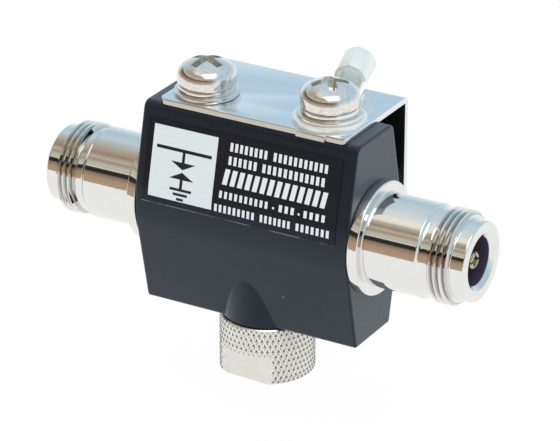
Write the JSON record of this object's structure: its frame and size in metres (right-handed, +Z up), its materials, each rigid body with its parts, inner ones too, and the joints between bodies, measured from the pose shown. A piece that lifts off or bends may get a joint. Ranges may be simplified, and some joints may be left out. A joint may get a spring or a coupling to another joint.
{
  "type": "coax lightning arrestor",
  "caption": "In-line coaxial surge arrestor: black die-cast housing with a threaded jack at each end, a folded ground bracket with terminal screws and a knurled cap over a gas tube.",
  "frame": {"origin": "centre of the screw cap's end face", "axes": "+X along the line to the right jack, -Y towards the label side, +Z up from the cap to the terminal screws"},
  "size_m": [0.079, 0.026, 0.0544],
  "materials": {
    "housing_black": "satin black paint on a die-casting",
    "label_film": "printed film with a clear face",
    "jack_nickel": "turned brass with bright nickel plating",
    "insulator_dark": "moulded bead",
    "contact_plated": "plated spring brass",
    "conductor_brass": "turned",
    "electrode_nickel": "plated",
    "ceramic_white": "fired, unglazed",
    "spring_steel": "drawn wire",
    "cap_nickel": "turned brass with satin nickel plating",
    "seal_black": "moulded ring",
    "bracket_polished": "polished plated sheet",
    "screw_nickel": "bright plated steel",
    "washer_nickel": "bright plated steel",
    "terminal_tin": "matte tin over copper"
  },
  "bodies": {
    "arrestor": {"housing": "housing_black", "front_label": "label_film", "left_jack": "jack_nickel", "right_jack": "jack_nickel", "left_insulator": "insulator_dark", "right_insulator": "insulator_dark", "left_contact": "contact_plated", "right_contact": "contact_plated", "center_conductor": "conductor_brass", "ground_bracket": "bracket_polished", "ring_terminal": "terminal_tin"},
    "tube_carriage": {"gas_tube_upper_electrode": "electrode_nickel", "gas_tube_ceramic": "ceramic_white", "gas_tube_lower_electrode": "electrode_nickel", "tube_spring": "spring_steel"},
    "cap": {"screw_cap": "cap_nickel", "cap_seal": "seal_black"},
    "left_washers": {"left_spring_washer": "washer_nickel", "left_flat_washer": "washer_nickel"},
    "left_terminal_screw": {"left_screw": "screw_nickel"},
    "right_washers": {"right_spring_washer": "washer_nickel", "right_flat_washer": "washer_nickel"},
    "right_terminal_screw": {"right_screw": "screw_nickel"}
  },
  "joints": [
    {"name": "cap_travel", "type": "slide", "parent": "arrestor", "child": "tube_carriage", "axis": [0, 0, -1], "range_m": [0, 0.007]},
    {"name": "cap_turn", "type": "hinge", "parent": "tube_carriage", "child": "cap", "pos_m": [0, 0, 0], "axis": [0, 0, -1], "range_deg": [0, 2520]},
    {"name": "left_screw_travel", "type": "slide", "parent": "arrestor", "child": "left_washers", "axis": [0, 0, 1], "range_m": [0, 0.008]},
    {"name": "left_screw_turn", "type": "hinge", "parent": "left_washers", "child": "left_terminal_screw", "pos_m": [-0.01155, 0, 0.0473], "axis": [0, 0, 1], "range_deg": [0, 3600]},
    {"name": "right_screw_travel", "type": "slide", "parent": "arrestor", "child": "right_washers", "axis": [0, 0, 1], "range_m": [0, 0.008]},
    {"name": "right_screw_turn", "type": "hinge", "parent": "right_washers", "child": "right_terminal_screw", "pos_m": [0.01155, 0, 0.0482], "axis": [0, 0, 1], "range_deg": [0, 3600]}
  ],
  "couplings": [
    {"joint": "cap_turn", "follows": "cap_travel", "rad_per_m": 6283.2},
    {"joint": "left_screw_turn", "follows": "left_screw_travel", "rad_per_m": 7854},
    {"joint": "right_screw_turn", "follows": "right_screw_travel", "rad_per_m": 7854}
  ]
}
